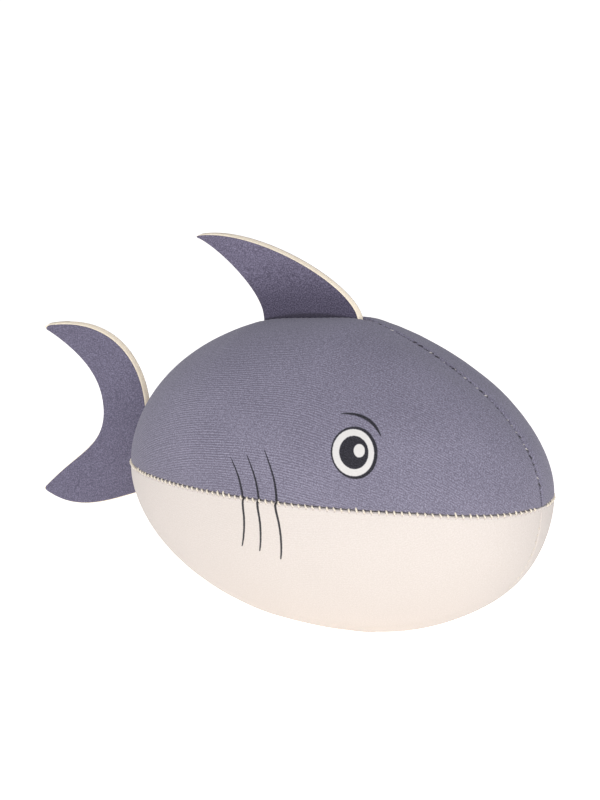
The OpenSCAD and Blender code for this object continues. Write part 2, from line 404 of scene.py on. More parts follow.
def skin_place(half, side, angle, turn):
    """Outer point, outward direction and distance to the nearest seam, for a panel."""
    gap = middle_gap(half, angle)
    base = quarter_skin(half, angle, turn, gap, SEAM_HALF_GAP)
    out = quarter_normal(half, angle, turn)
    to_side, to_middle = base[:, 2] - SEAM_HALF_GAP, base[:, 1] - gap
    radius = EDGE_ROLL * np.clip(swell(SIDE, angle) / 8, 0.05, 1)
    drop = np.minimum(rolled(to_side, radius) + rolled(to_middle, radius), EDGE_ROLL_CAP * radius)
    pucker = 0
    for seam, distance in ((SIDE_SEAM, to_side), (MIDDLE_SEAM[half], to_middle)):
        wave = np.cos(2 * math.pi * np.interp(angle, TABLE_ANGLES, seam) / STITCH_PITCH)
        pucker = pucker + wave * np.exp(-(distance / PUCKER_REACH) ** 2)
    round_turn = np.arctan2(half * np.sin(turn), side * np.cos(turn))
    lift = crown(angle, round_turn) - drop - PUCKER * pucker * np.sin(angle)
    point = base + out * lift[:, None]
    if half < 0:
        point[:, 2] = np.minimum(point[:, 2], REST_HEIGHT - FLOOR_CLEARANCE)
    point[:, 1] = np.maximum(point[:, 1], gap)
    point[:, 2] = np.maximum(point[:, 2], SEAM_HALF_GAP)
    return point, base, out, np.minimum(to_side, to_middle)


# %% Panel maker
def facing_out(bm):
    """Turns the mesh's faces to look away from the body's centre."""
    bmesh.ops.recalc_face_normals(bm, faces=bm.faces[:])
    share = sum(f.calc_center_median().dot(f.normal) * f.calc_area() for f in bm.faces)
    if share < 0:
        bmesh.ops.reverse_faces(bm, faces=bm.faces[:])


def make_panel(name, side, half):
    """One quarter of the skin, as a closed wall of neoprene."""
    bm = bmesh.new()
    bmesh.ops.create_grid(bm, x_segments=GRID_ALONG, y_segments=GRID_ACROSS, size=0.5)
    flat = np.array([v.co for v in bm.verts])
    share, across = flat[:, 0] + 0.5, flat[:, 1] + 0.5
    full = np.interp(PANEL_END, TABLE_ANGLES, PANEL_LENGTH)
    angle = np.interp(share * full, PANEL_LENGTH, TABLE_ANGLES)
    spread = np.tanh(EDGE_CROWDING * (2 * across - 1)) / math.tanh(EDGE_CROWDING)
    turn = (spread + 1) * math.pi / 4
    point, base, _, _ = skin_place(half, side, angle, turn)
    keep = {
        "cut_s": share * full,
        "cut_t": cut_across(half, angle, turn),
        "angle": angle,
        "turn": turn,
        "from_seam": base[:, 2],
    }
    layers = {key: bm.verts.layers.float.new(key) for key in keep}
    for i, v in enumerate(bm.verts):
        for key, layer in layers.items():
            v[layer] = keep[key][i]
    move_all(bm, placed(point, side, half) * MM)
    bmesh.ops.remove_doubles(bm, verts=bm.verts[:], dist=SAME_POINT * 2 * MM)
    facing_out(bm)
    wall = bmesh.ops.solidify(bm, geom=bm.faces[:], thickness=PANEL_T * MM)
    inner = [g for g in wall["geom"] if isinstance(g, bmesh.types.BMVert)]
    a = np.array([v[layers["angle"]] for v in inner])
    t = np.array([v[layers["turn"]] for v in inner])
    _, base, out, near = skin_place(half, side, a, t)
    deep = placed(base - out * wall_depth(near)[:, None], side, half) * MM
    for v, p in zip(inner, deep):
        v.co = p
    cut = bm.loops.layers.uv.new("cut")
    edge = bm.loops.layers.uv.new("edge")
    for face in bm.faces:
        for loop in face.loops:
            v = loop.vert
            loop[cut].uv = (v[layers["cut_s"]] * MM, v[layers["cut_t"]] * MM)
            sewn = float(np.interp(v[layers["angle"]], TABLE_ANGLES, SIDE_SEAM))
            loop[edge].uv = (sewn * MM, v[layers["from_seam"]] * MM)
    return raised(bm, name)


# %% The four panels
PANELS = {
    "upper_left_panel": (1, 1),
    "upper_right_panel": (-1, 1),
    "lower_left_panel": (1, -1),
    "lower_right_panel": (-1, -1),
}
panels = {}
for node, (side, half) in PANELS.items():
    panels[node] = make_panel(node + "_sewn", side, half)
    print(node, len(panels[node].data.polygons), "faces")

# %% [markdown]
# ## Filling
#
# The fibre can't be seen, but it is a piece of the toy, and it shows wherever a seam is
# opened. It is an egg a little smaller than the inside of the panels, grooved along the seams
# where the allowances press into it, and lumpy as packed fibre is.

# %% Filling
FILL_TURNS, FILL_ROWS = 144, 96
FILL_ROOM = 0.5
LUMP = 0.35
LUMP_SIZES, LUMP_SHIFTS = (5.1, 4.3, 4.7), (0, 1, 2)


def make_filling():
    """The packed fibre, as one lumpy egg."""
    bm = bmesh.new()
    bmesh.ops.create_uvsphere(bm, u_segments=FILL_TURNS, v_segments=FILL_ROWS, radius=1,
                              matrix=POLES_ALONG_X)
    angle, turn = sphere_angles(bm)
    point, out = whole_skin(angle, turn)
    near = np.minimum(np.abs(point[:, 1]) - middle_gap(1, angle), np.abs(point[:, 2]))
    lumps = np.prod(np.sin(point / LUMP_SIZES + LUMP_SHIFTS), axis=1)
    depth = wall_depth(near) + FILL_ROOM + LUMP * (1 + lumps)
    move_all(bm, dropped(point - out * depth[:, None]) * MM)
    facing_out(bm)
    return raised(bm, "packed_fibre")


filling = make_filling()
print("filling", [round(x * 1000, 1) for x in filling.dimensions], "mm")

# %% [markdown]
# ## Fins
#
# A fin is die-cut from a flat laminate: cream foam with slate jersey bonded to each side, so
# the foam shows all round as a pale line. A grid between the fin's front and rear curves
# follows its shape better than a filled outline would, and it bends well. The edge at the body
# is extruded into the seam as the root. Foam and faces are separate sheets with their own
# thickness.

# %% Fin outlines
FOAM_T, FACE_T = 3.2, 0.4
DORSAL_HINGE = 59.4
TAIL_HINGE = -83.9
DORSAL_TIP_POWER, TAIL_TIP_POWER = 14, 20


def bezier(points, t):
    """Points along a curve with four control points."""
    a, b, c, d = [np.array(p, float) for p in points]
    t = np.asarray(t)[:, None]
    return (1 - t) ** 3 * a + 3 * t * (1 - t) ** 2 * b + 3 * t * t * (1 - t) * c + t**3 * d


def between(front, rear, share):
    """Points a share of the way from front to rear."""
    return np.asarray(front) * (1 - share[:, None]) + np.asarray(rear) * share[:, None]


def tip_bulge(points, across):
    """How far a rounded tip stands out from the straight line between its ends."""
    return bezier(points, across) - between(points[0], points[-1], across)


def dorsal_sheet(along, across):
    """Dorsal fin, from its seam (along 0) to its tip (1), front edge (across 0) to rear (1)."""
    front = bezier([(8.5, 59.4), (0.8, 71.5), (-34.7, 87.1), (-58.0, 83.5)], along)
    rear = bezier([(-32, 59.4), (-36.4, 67.8), (-51.0, 79.7), (-58.8, 82.6)], along)
    bulge = tip_bulge([(-58.0, 83.5), (-59.2, 83.4), (-59.6, 83.0), (-58.8, 82.6)], across)
    return between(front, rear, across) + bulge * along[:, None] ** DORSAL_TIP_POWER


def tail_sheet(along, across):
    """Tail fin, from its upper tip (along 0) to its lower one (1), body side (across 0) to
    trailing edge (1)."""
    down_top, down_seam, down_bottom = [np.clip(t, 0, 1) for t in
                                        (along / 0.4, (along - 0.4) / 0.2, (along - 0.6) / 0.4)]
    top = bezier([(-124.2, 46.3), (-99.5, 51), (-84.1, 40), (TAIL_HINGE, TAIL_TOP)], down_top)
    seam = between((TAIL_HINGE, TAIL_TOP), (TAIL_HINGE, -TAIL_BOTTOM), down_seam)
    bottom = bezier([(TAIL_HINGE, -TAIL_BOTTOM), (-93.2, -18), (-112.8, -29.7), (-128.3, -19.8)],
                    down_bottom)
    body_side = np.where((along < 0.4)[:, None], top, np.where((along > 0.6)[:, None], bottom, seam))
    upper = bezier([(-125.3, 44.6), (-110.4, 35.3), (-102.8, 26.3), (-102.9, 12.8)],
                   np.clip(along * 2, 0, 1))
    lower = bezier([(-102.9, 12.8), (-103.4, -1), (-114.8, -3.7), (-128.6, -18.4)],
                   np.clip(along * 2 - 1, 0, 1))
    trailing = np.where((along < 0.5)[:, None], upper, lower)
    up_bulge = tip_bulge([(-124.2, 46.3), (-125.9, 45.9), (-126.4, 45.4), (-125.3, 44.6)], across)
    low_bulge = tip_bulge([(-128.3, -19.8), (-129.3, -19.6), (-129.4, -19.1), (-128.6, -18.4)], across)
    sheet = between(body_side, trailing, across)
    sheet = sheet + up_bulge * (1 - along[:, None]) ** TAIL_TIP_POWER
    return sheet + low_bulge * along[:, None] ** TAIL_TIP_POWER


# %% How the fins rest
DORSAL_CURL, DORSAL_CURL_OVER = 2.6, 25
TAIL_CURL, TAIL_CURL_FROM, TAIL_CURL_OVER = 4.0, 10, 36
TAIL_SWING = math.radians(10)
SWING_FROM, SWING_OVER = 2.5, 8.5
ROOT_DRIFT, ROOT_DRIFT_OVER = 2.0, 3.2
FIN_WARP = 0.3


def warp(x, z, from_seam):
    """The slight wave of a flat sheet, which starts beyond the seam."""
    return FIN_WARP * math.sin(x / 17 + z / 21) * float(smooth((from_seam - 4) / 25))


def dorsal_rest(x, y, z):
    """The dorsal fin curls to the right towards its tip, and its root drifts in the seam."""
    rise = z - DORSAL_HINGE
    x += ROOT_DRIFT * (1 - math.exp(min(rise, 0) / ROOT_DRIFT_OVER))
    slope = 2 * DORSAL_CURL * max(rise, 0) / DORSAL_CURL_OVER**2
    z += y * slope
    y += warp(x, z, rise)
    return x, y - DORSAL_CURL * (max(rise, 0) / DORSAL_CURL_OVER) ** 2, z


def tail_rest(x, y, z):
    """The tail fin has swung a little to the right about its seam, and its upper tip curls."""
    y += warp(x, z, TAIL_HINGE - x)
    turn = TAIL_SWING * float(smooth((TAIL_HINGE + SWING_FROM - x) / SWING_OVER))
    back, side = x - TAIL_HINGE, y
    x = TAIL_HINGE + back * math.cos(turn) - side * math.sin(turn)
    y = back * math.sin(turn) + side * math.cos(turn)
    bend = max(z - TAIL_CURL_FROM, 0)
    slope = side * 2 * TAIL_CURL * bend / TAIL_CURL_OVER**2
    return x, y - TAIL_CURL * (bend / TAIL_CURL_OVER) ** 2, z + slope


# %% Fin maker
ROOT_STEPS = 6
CORNER_ANGLE, BEVEL_ROOM = 1, 1.2
WIDEST_TRIM = 0.3
PROFILE_X = HALF_LENGTH * np.cos(TABLE_ANGLES)[::-1]
PROFILE_Z = swell(BACK, TABLE_ANGLES)[::-1]

FINS = {
    "dorsal_fin": {
        "outline": dorsal_sheet,
        "grid": (90, 12),
        "tips": (0, 0.008),
        "on_seam": lambda x, z: abs(z - DORSAL_HINGE) < 0.02,
        "inwards": (0, 0, -9.8),
        "rise": lambda x, z: z - float(np.interp(x, PROFILE_X, PROFILE_Z)),
        "rest": dorsal_rest,
    },
    "tail_fin": {
        "outline": tail_sheet,
        "grid": (150, 14),
        "tips": (0.006, 0.006),
        "on_seam": lambda x, z: abs(x - TAIL_HINGE) < 0.4 and -16.1 < z < 10.1,
        "inwards": (7.4, 0, 0),
        "rise": lambda x, z: TAIL_HINGE - x,
        "rest": tail_rest,
    },
}


def fin_layer(fin, name, outer_y, thickness, trim, bevel):
    """A sheet of the fin from outer_y inwards, trimmed back from the outline by some
    millimetres. Its rise map holds the distance of each point from the body."""
    facts = FINS[fin]
    bm = bmesh.new()
    bmesh.ops.create_grid(bm, x_segments=facts["grid"][0], y_segments=facts["grid"][1], size=0.5)
    flat = np.array([v.co for v in bm.verts])
    along, across = flat[:, 0] + 0.5, flat[:, 1] + 0.5
    if trim:
        along = along * (1 - facts["tips"][1]) + facts["tips"][0] * (1 - along)
        front = facts["outline"](along, np.zeros_like(along))
        rear = facts["outline"](along, np.ones_like(along))
        share = np.minimum(trim / np.linalg.norm(front - rear, axis=1), WIDEST_TRIM)
        across = share + across * (1 - 2 * share)
    at = facts["outline"](along, across)
    side = 1 if outer_y > 0 else -1
    move_all(bm, np.stack([at[:, 0], np.full(len(at), outer_y), at[:, 1]], -1) * MM)
    bmesh.ops.remove_doubles(bm, verts=bm.verts[:], dist=SAME_POINT * MM)
    seam = [e for e in bm.edges if e.is_boundary
            and all(facts["on_seam"](v.co.x / MM, v.co.z / MM) for v in e.verts)]
    step = Vector(facts["inwards"]) * (MM / ROOT_STEPS)
    for _ in range(ROOT_STEPS):
        made = bmesh.ops.extrude_edge_only(bm, edges=seam)["geom"]
        seam = [g for g in made if isinstance(g, bmesh.types.BMEdge)
                and all(v in made for v in g.verts)]
        bmesh.ops.translate(bm, verts=[g for g in made if isinstance(g, bmesh.types.BMVert)], vec=step)
    bmesh.ops.recalc_face_normals(bm, faces=bm.faces[:])
    if sum(f.normal.y for f in bm.faces) * side < 0:
        bmesh.ops.reverse_faces(bm, faces=bm.faces[:])
    bmesh.ops.solidify(bm, geom=bm.faces[:], thickness=thickness * MM)
    corners = [e for e in bm.edges if len(e.link_faces) == 2 and e.calc_face_angle(0) > CORNER_ANGLE]
    roomy = BEVEL_ROOM * bevel * MM
    corners = [e for e in corners if e.calc_length() > roomy
               and all(f.calc_area() > roomy * e.calc_length() for f in e.link_faces)]
    bmesh.ops.bevel(bm, geom=corners, offset=bevel * MM, segments=2, profile=0.5,
                    affect="EDGES", material=-1)
    rise = bm.loops.layers.uv.new("rise")
    for face in bm.faces:
        for loop in face.loops:
            x, _, z = loop.vert.co / MM
            loop[rise].uv = (facts["rise"](x, z) * MM, 0)
    for v in bm.verts:
        v.co = Vector(facts["rest"](*(v.co / MM))) * MM
    return raised(bm, name)


# %% The two fins
FACE_TRIM = 0.3
FOAM_BEVEL, FACE_BEVEL = 0.3, 0.12
fins = {}
for fin in FINS:
    fins[fin, "foam"] = fin_layer(fin, fin + "_foam_core", FOAM_T / 2, FOAM_T, 0, FOAM_BEVEL)
    for hand, side in (("left", 1), ("right", -1)):
        fins[fin, hand] = fin_layer(fin, fin + "_" + hand + "_jersey", side * (FOAM_T / 2 + FACE_T),
                                    FACE_T, FACE_TRIM, FACE_BEVEL)
    print(fin, [len(fins[fin, k].data.polygons) for k in ("foam", "left", "right")], "faces")

# %% [markdown]
# ## Stitches
#
# Pale thread crosses the side seams in short slanting ticks that pull the cream panel towards
# the slate one. In the back seam dark thread lies deep between the panels, and in the belly
# seam pale thread does. A stitch is a small bent rod with round ends, made once and repeated
# along the seam with small differences, as hand-guided sewing has.

# %% Stitch template
STITCH_SIDES = 6
STITCH_CUTS = (-0.8, -0.35, 0.0, 0.35, 0.8)


def stitch_template():
    """A rod along x from -1 to 1, with a radius of 1, in short lengths and with thin ends."""
    bm = bmesh.new()
    bmesh.ops.create_cone(bm, cap_ends=True, segments=STITCH_SIDES, radius1=1, radius2=1, depth=2,
                          matrix=POLES_ALONG_X)
    for cut in STITCH_CUTS:
        bmesh.ops.bisect_plane(bm, geom=bm.verts[:] + bm.edges[:] + bm.faces[:],
                               plane_co=(cut, 0, 0), plane_no=(1, 0, 0))
    for v in bm.verts:
        thin = math.sqrt(max(1 - abs(v.co.x) ** 4, 0.12))
        v.co.y *= thin
        v.co.z *= thin
    bmesh.ops.recalc_face_normals(bm, faces=bm.faces[:])
    mesh = bpy.data.meshes.new("stitch_template")
    bm.to_mesh(mesh)
    bm.free()
    return mesh


template = stitch_template()
print("a stitch has", len(template.polygons), "faces")

# %% Rows of stitches
dice = random.Random(7)
LONG_SHARE, LONG_STITCH = 0.09, 1.9
STITCHES = {
    "side": {"reach": 0.65, "back_reach": 0.72, "slant": -0.32, "lift": 0.22, "sink": 0.3, "radius": 0.36},
    "back": {"reach": 0.75, "back_reach": 0.75, "slant": 0.7, "lift": -0.5, "sink": 0.4, "radius": 0.22,
             "uneven": 0.5},
    "belly": {"reach": 0.5, "back_reach": 0.5, "slant": 0.3, "lift": -0.3, "sink": 0.3, "radius": 0.22},
    "fin": {"reach": 0.7, "back_reach": 0.1, "slant": 0.3, "lift": -0.25, "sink": 0.35, "radius": 0.24},
}


def seam_axes(point, ahead, out, axis, sign=1):
    """The places with their along, across and outward directions. Across points to the
    positive or negative end of one axis."""
    along = ahead - point
    along /= np.linalg.norm(along, axis=1, keepdims=True)
    across = np.cross(out, along)
    across *= np.where(across[:, axis] * sign < 0, -1, 1)[:, None]
    return point, along, across, out


def seam_frames(half, side, turn, start, end):
    """Places along a seam a stitch apart. Across points towards the slate panel, or to the
    left on a middle seam."""
    table = SIDE_SEAM if turn == 0 else MIDDLE_SEAM[half]
    first, last = np.interp([start, end], TABLE_ANGLES, table)
    count = np.arange(math.ceil(first / STITCH_PITCH), math.floor(last / STITCH_PITCH)) * STITCH_PITCH
    angles = np.interp(count, table, TABLE_ANGLES)
    turns = np.full_like(angles, turn)
    point = placed(quarter_skin(half, angles, turns), side, half)
    ahead = placed(quarter_skin(half, angles - 0.01, turns), side, half)
    out = placed(quarter_normal(half, angles, turns), side, half)
    return seam_axes(point, ahead, out, 2 if turn == 0 else 1)


def sew(name, rows, reach, back_reach, slant, lift, sink, radius, uneven=0.1):
    """Stitches over a seam, from reach on one side of it to back_reach on the other."""
    bm = bmesh.new()
    for point, along, across, out in zip(*rows):
        old = len(bm.verts)
        bm.from_mesh(template)
        bm.verts.ensure_lookup_table()
        long = dice.random() < LONG_SHARE
        high = reach * dice.uniform(0.75, 1.2) * (LONG_STITCH if long else 1)
        low = back_reach * dice.uniform(0.85, 1.15)
        lean = slant * dice.uniform(0.6, 1.4)
        rise = lift + uneven * dice.uniform(-1, 1)
        for v in bm.verts[old:]:
            x, y, z = v.co
            over = (high - low) / 2 + x * (high + low) / 2
            p = point + across * over + along * (x * lean + y * radius)
            p = p + out * (rise - (rise + sink) * abs(x) ** 2.5 + z * radius)
            v.co = p * MM
    return raised(bm, name)


NOSE_MARGIN, REAR_MARGIN, SLOT_MARGIN = math.radians(4), math.radians(174), 0.05
side_rows = {side: seam_frames(1, side, 0, NOSE_MARGIN, REAR_MARGIN) for side in (1, -1)}
front_rows = seam_frames(1, 1, math.pi / 2, NOSE_MARGIN, DORSAL_SLOT[0] - SLOT_MARGIN)
rear_rows = seam_frames(1, 1, math.pi / 2, DORSAL_SLOT[1] + SLOT_MARGIN, TAIL_SLOTS[1][0] - SLOT_MARGIN)
belly_rows = seam_frames(-1, 1, math.pi / 2, NOSE_MARGIN, TAIL_SLOTS[-1][0] - SLOT_MARGIN)

threads = {
    "left_side_thread": sew("left_side_stitches", side_rows[1], **STITCHES["side"]),
    "right_side_thread": sew("right_side_stitches", side_rows[-1], **STITCHES["side"]),
    "front_back_thread": sew("front_back_stitches", front_rows, **STITCHES["back"]),
    "rear_back_thread": sew("rear_back_stitches", rear_rows, **STITCHES["back"]),
    "belly_thread": sew("belly_stitches", belly_rows, **STITCHES["belly"]),
}
print({k: len(v.data.polygons) for k, v in threads.items()})

# %% Stitches beside the fins
SEAM_RADIUS = 82
TAIL_TABLE = 300


def fin_rows(fin, side):
    """Places along the line where a panel's edge meets the side of a fin."""
    mirror = np.array([1, side, 1])
    if fin == "dorsal_fin":
        start, end = DORSAL_SLOT
        angles = np.arange(start + 0.02, end - 0.02, STITCH_PITCH / SEAM_RADIUS)
        turns = np.full_like(angles, math.pi / 2)
        point = quarter_skin(1, angles, turns, FIN_HALF) * mirror
        ahead = quarter_skin(1, angles - 0.01, turns, FIN_HALF) * mirror
        out = quarter_normal(1, angles, turns) * mirror
    else:
        z = np.arange(1 - TAIL_BOTTOM, TAIL_TOP - 1, STITCH_PITCH)
        rear = TABLE_ANGLES[-TAIL_TABLE:]
        x = np.interp(np.abs(z), swell(BACK, rear)[::-1], HALF_LENGTH * np.cos(rear)[::-1])
        point = np.stack([x, np.full_like(z, side * FIN_HALF), z], -1)
        ahead = point + np.array([0, 0, 0.1])
        out = np.tile([-1.0, 0, 0], (len(z), 1))
    return seam_axes(point, ahead, out, 1, side)


for fin, node in (("dorsal_fin", "dorsal"), ("tail_fin", "tail")):
    for hand, side in (("left", 1), ("right", -1)):
        key = node + "_" + hand + "_thread"
        threads[key] = sew(key.replace("thread", "stitches"), fin_rows(fin, side), **STITCHES["fin"])
print("rows of stitches:", len(threads))

# %% [markdown]
# ## Shader helpers
#
# A material is a network of small steps. These helpers add a node and join it in one line, so
# that the recipes below read as sums.


# %% Node helpers
def join(tree, value, socket):
    """Joins an output to an input, or sets the input when the value is a plain one."""
    if isinstance(value, bpy.types.NodeSocket):
        tree.links.new(value, socket)
    else:
        socket.default_value = value


def add_node(tree, kind, **inputs):
    """A new node with some of its inputs set or joined, by name with _ for a space."""
    node = tree.nodes.new(kind)
    for key, value in inputs.items():
        join(tree, value, node.inputs[key.replace("_", " ")])
    return node


def sums(tree, operation, *values, clamp=False):
    """The output of a Math node."""
    node = tree.nodes.new("ShaderNodeMath")
    node.operation, node.use_clamp = operation, clamp
    for socket, value in zip(node.inputs, values):
        join(tree, value, socket)
    return node.outputs[0]


def maths(tree):
    """Short names for the commonest sums in a tree: times, plus, minus, and times then plus."""
    def step(operation):
        return lambda *values, clamp=False: sums(tree, operation, *values, clamp=clamp)
    return [step(operation) for operation in ("MULTIPLY", "ADD", "SUBTRACT", "MULTIPLY_ADD")]


def distance(tree, a, b):
    """The length of a flat step of a one way and b the other."""
    times, plus, _, _ = maths(tree)
    return sums(tree, "SQRT", plus(times(a, a), times(b, b)))


def mixed(tree, share, a, b):
    """A colour between a and b."""
    node = tree.nodes.new("ShaderNodeMix")
    node.data_type = "RGBA"
    colours = [socket for socket in node.inputs if socket.type == "RGBA"]
    for value, socket in zip((share, a, b), (node.inputs[0], *colours)):
        join(tree, value, socket)
    return [socket for socket in node.outputs if socket.type == "RGBA"][0]


def noise(tree, vector, scale, detail=2.0, roughness=0.5):
    """The value of a noise texture."""
    node = add_node(tree, "ShaderNodeTexNoise", Vector=vector, Scale=scale, Detail=detail,
                    Roughness=roughness)
    return node.outputs[0]


def scaled(tree, vector, scale, offset=(0, 0, 0)):
    """A vector times a scale, after an offset."""
    for operation, value in (("ADD", offset), ("MULTIPLY", scale)):
        node = tree.nodes.new("ShaderNodeVectorMath")
        node.operation = operation
        join(tree, vector, node.inputs[0])
        join(tree, value, node.inputs[1])
        vector = node.outputs[0]
    return vector


def split(tree, vector):
    """The X, Y and Z of a vector."""
    return add_node(tree, "ShaderNodeSeparateXYZ", Vector=vector).outputs[:]


def object_place(tree):
    """Each point's place in its object."""
    return tree.nodes.new("ShaderNodeTexCoord").outputs["Object"]


def map_place(tree, uv_map):
    """Each point's place in one of its UV maps."""
    node = tree.nodes.new("ShaderNodeUVMap")
    node.uv_map = uv_map
    return node.outputs["UV"]


def relief(tree, shader, height, strength, distance):
    """Gives a surface the small ups and downs of a height."""
    bump = add_node(tree, "ShaderNodeBump", Strength=strength, Distance=distance, Height=height)
    tree.links.new(bump.outputs[0], shader.inputs["Normal"])


def new_group(name, inputs, outputs):
    """An empty shader group with named sockets, and its input and output nodes."""
    group = bpy.data.node_groups.new(name, "ShaderNodeTree")
    for way, sockets in (("INPUT", inputs), ("OUTPUT", outputs)):
        for label, kind in sockets:
            group.interface.new_socket(label, in_out=way, socket_type="NodeSocket" + kind)
    return group, group.nodes.new("NodeGroupInput"), group.nodes.new("NodeGroupOutput")


def simple_material(name, roughness, sheen=0.0):
    """A matt material, with its tree and its shader."""
    material = bpy.data.materials.new(name)
    material.use_nodes = True
    shader = material.node_tree.nodes["Principled BSDF"]
    shader.inputs["Roughness"].default_value = roughness
    shader.inputs["Specular IOR Level"].default_value = 0.25
    shader.inputs["Sheen Weight"].default_value = sheen
    return material, material.node_tree, shader


def linear(red, green, blue):
    """Colour from 0 to 255 as shown on a screen, made linear for a shader."""
    parts = []
    for value in (red, green, blue):
        v = value / 255
        parts.append(v / 12.92 if v <= 0.04045 else ((v + 0.055) / 1.055) ** 2.4)
    return (*parts, 1.0)


# %% [markdown]
# ## Ribbed jersey
#
# The knit is fine ribs less than a millimetre apart that run along the panel as it was cut,
# broken into short flecks where loops catch the light. A stripe alone looks like corduroy, so
# the stripe is mixed with noise that is stretched along it and with a grain across it, and it
# comes and goes in patches. The ribs open, and show more, where the cloth is stretched over
# the rear of the body near the side seam. The group puts out a tone for the colour and a
# height for the bump.

# %% Ribbed jersey group
RIB_PITCH, RIB_SWAY = 0.82, 0.9
FLECK_LONG, FLECK_WIDE = 1.9, 0.62
SWAY_PER_MM, PATCH_PER_MM, GRAIN_PER_MM = (0.05, 0.25, 1), (0.03, 0.06, 1), (1.9, 2.2, 1)
PATCH_CONTRAST, PATCH_SHIFT = 3.0, -0.85
REAR_FADE, REAR_SHIFT = 90, -0.35
SEAM_FADE, SEAM_SHIFT = -60, 1.2
STRETCH_MORE, STRETCH_LEAST = 0.75, 0.3
CLOTH_TONE, RIB_TONE, RIB_RELIEF = 0.8, 0.19, 0.45


def ribbed_jersey_group():
    """Tone and height of the knit at a place on the flat cut."""
    group, given, out = new_group("ribbed_jersey",
                                  [("Cut", "Vector"), ("Rib Strength", "Float"), ("Flecks", "Float")],
                                  [("Tone", "Float"), ("Height", "Float")])
    times, plus, minus, times_plus = maths(group)
    cut = scaled(group, given.outputs["Cut"], (1000, 1000, 1000))
    x, y, _ = split(group, cut)
    sway = noise(group, scaled(group, cut, SWAY_PER_MM), 1.0, 1.0)
    across = plus(y, times(sway, RIB_SWAY))
    rib = times(sums(group, "SINE", times(across, 2 * math.pi / RIB_PITCH)), 0.5)
    fleck = noise(group, scaled(group, cut, (1 / FLECK_LONG, 1 / FLECK_WIDE, 1)), 1.0, 2.0, 0.6)
    grain = noise(group, scaled(group, cut, GRAIN_PER_MM), 1.0, 1.0, 0.6)
    patch = noise(group, scaled(group, cut, PATCH_PER_MM), 1.0, 1.0)
    shown = times_plus(patch, PATCH_CONTRAST, PATCH_SHIFT, clamp=True)
    to_rear = times_plus(x, 1 / REAR_FADE, REAR_SHIFT, clamp=True)
    to_seam = times_plus(y, 1 / SEAM_FADE, SEAM_SHIFT, clamp=True)
    stretch = times_plus(times(to_rear, to_seam), STRETCH_MORE, STRETCH_LEAST)
    ribbed = times(rib, times(times(shown, stretch), given.outputs["Rib Strength"]))
    fabric = plus(grain, times(minus(fleck, grain), given.outputs["Flecks"]))
    join(group, plus(times(fabric, CLOTH_TONE), times(ribbed, RIB_TONE)), out.inputs["Tone"])
    join(group, plus(times(ribbed, RIB_RELIEF), fabric), out.inputs["Height"])
    return group


ribbed_jersey = ribbed_jersey_group()
print("ribs every", RIB_PITCH, "mm")

# %% [markdown]
# ## The printed face
#
# Eye, brow and gill lines are ink printed on the jersey before it is sewn, so they are part of
# the fabric's colour and its ribs show through. Each shape is a formula on the side view of
# the toy: rings are ellipses, the brow is a tapered arc, and the gills are tapered parabolas
# that run on from the slate panel to the cream one, where they hook slightly at the seam.
# Object coordinates put the same print on both sides and keep the lines whole across the seam.

# %% Print group
EYE_RINGS = {
    "outline": {"centre": (34.86, 18.34), "radii": (8.75, 6.8), "tilt": -52.9},
    "white": {"centre": (34.58, 18.38), "radii": (7.80, 6.06), "tilt": -53.7},
    "pupil": {"centre": (34.82, 18.49), "radii": (5.55, 4.28), "tilt": -54.2},
    "highlight": {"centre": (36.40, 19.15), "radii": (2.15, 1.62), "tilt": -58.7},
}
BROW = {"centre": (29.6, 15.77), "radius": 14.45, "middle": 66.4, "spread": 34.6, "half_width": 0.44}
GILLS = [
    (-2.85, -3.0, 0.0258, 13.2, 0.2), (3.6, -2.6, 0.0218, 14.6, 0.2), (10.4, -0.5, 0.0215, 17.0, 0.2),
    (-2.95, -7.5, 0.0228, -17.4, 0.1), (3.6, -9.5, 0.0215, -18.1, 0.1), (11.35, -11.6, 0.0205, -20.0, 0.1),
]
GILL_HALF_WIDTH = 0.46
GILL_HOOK, GILL_HOOK_DEPTH = 1.3, 2.2
BROW_END, GILL_END = 0.1, 0.15
INK_BLEED, INK_WOBBLE = 0.2, 0.22


